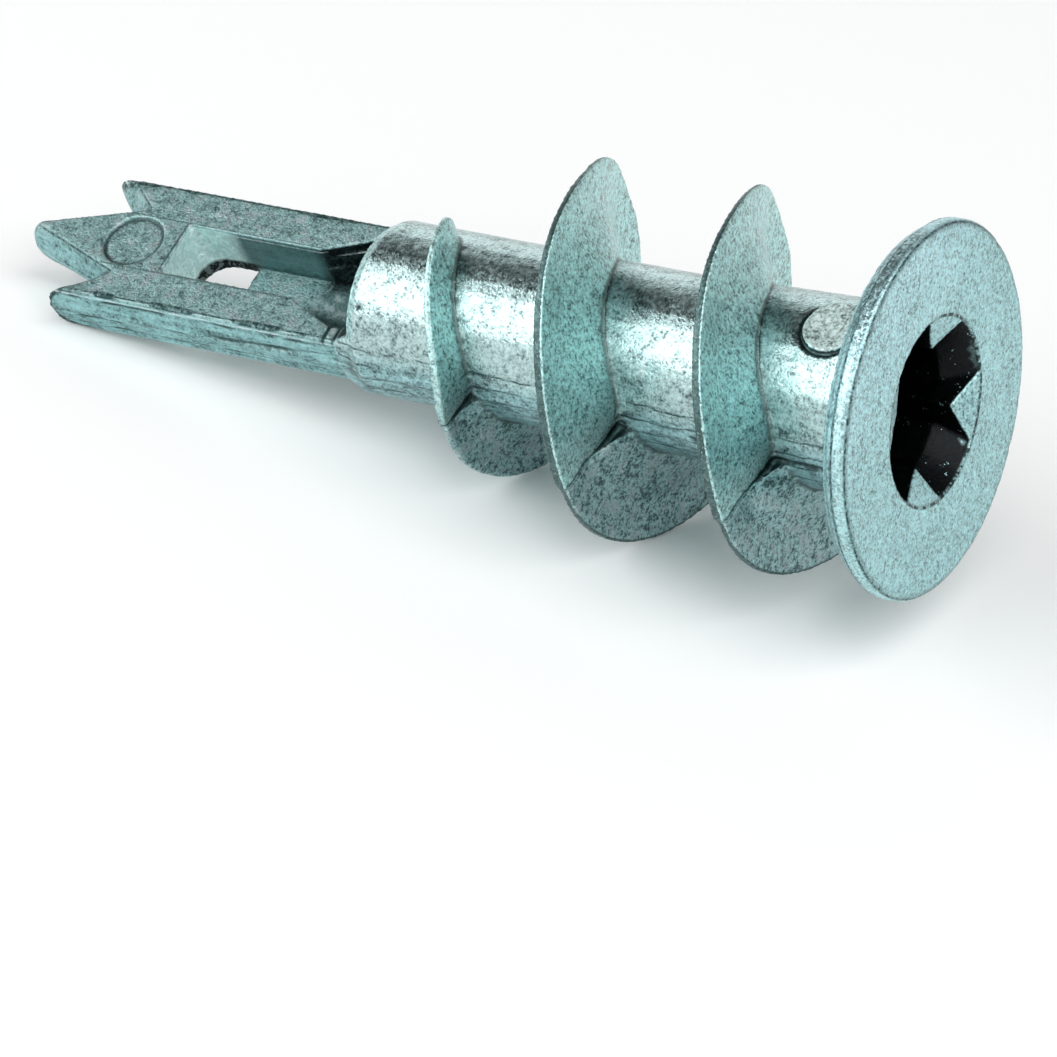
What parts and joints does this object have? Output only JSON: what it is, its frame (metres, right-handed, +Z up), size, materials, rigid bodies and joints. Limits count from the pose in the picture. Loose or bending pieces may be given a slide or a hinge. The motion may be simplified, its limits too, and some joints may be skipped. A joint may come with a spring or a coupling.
{
  "type": "self-drilling wall anchor",
  "caption": "Die-cast zinc self-drilling anchor for plasterboard with a forked drill blade, deep coarse thread, round flange and cross recess.",
  "frame": {"origin": "bottom centre of the anchor's bounding box as it lies at rest", "axes": "+Z up; the anchor's own axis lies in the XZ plane, with the flange towards +X and 10.5 degrees higher than the blade's tip, which points to -X; it rests on the edge of the lower half of its first full turn of thread, the low starting turn and one spur of the blade"},
  "size_m": [0.037, 0.0128, 0.0146],
  "materials": {
    "cast_zinc": "matt grey as-cast zinc alloy, finely pitted, brighter where it is rubbed"
  },
  "bodies": {
    "root": {"anchor_body": "cast_zinc"}
  },
  "joints": []
}
